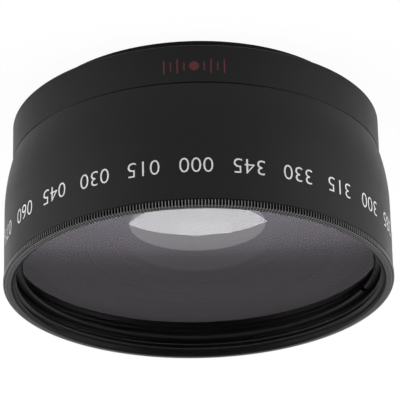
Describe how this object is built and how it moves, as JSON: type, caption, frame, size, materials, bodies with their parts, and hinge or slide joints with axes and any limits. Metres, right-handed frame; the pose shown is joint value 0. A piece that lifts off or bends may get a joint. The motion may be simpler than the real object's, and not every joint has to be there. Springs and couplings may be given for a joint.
{
  "type": "wide-angle conversion lens",
  "caption": "Round black wide-angle conversion lens with a knurled front rim, a large front glass and a macro ring that unscrews from its rear.",
  "frame": {"origin": "centre of the rear end, on the surface that the lens stands on", "axes": "+Z along the optical axis from the rear thread towards the front glass, +X to the right when the marks face the viewer"},
  "size_m": [0.061, 0.061, 0.03],
  "materials": {
    "anodised_barrel": "black anodised, satin",
    "anodised_macro_ring": "black anodised, satin",
    "anodised_ring": "black anodised, matt",
    "front_glass": "polished, coated",
    "macro_glass": "polished, coated"
  },
  "bodies": {
    "macro_unit": {"macro_ring": "anodised_macro_ring", "macro_lens": "macro_glass", "macro_retaining_ring": "anodised_ring"},
    "front_glass_carrier": {"front_lens": "front_glass"},
    "front_unit": {"front_barrel": "anodised_barrel", "front_retaining_ring": "anodised_ring"}
  },
  "joints": [
    {"name": "front_unit_lift", "type": "slide", "parent": "macro_unit", "child": "front_glass_carrier", "axis": [0, 0, 1], "range_m": [0, 0.003]},
    {"name": "barrel_turn", "type": "hinge", "parent": "front_glass_carrier", "child": "front_unit", "pos_m": [0, 0, 0.00905], "axis": [0, 0, 1], "range_deg": [0, 1440]}
  ],
  "couplings": [
    {"joint": "front_unit_lift", "follows": "barrel_turn", "m_per_rad": 0.00011937}
  ]
}
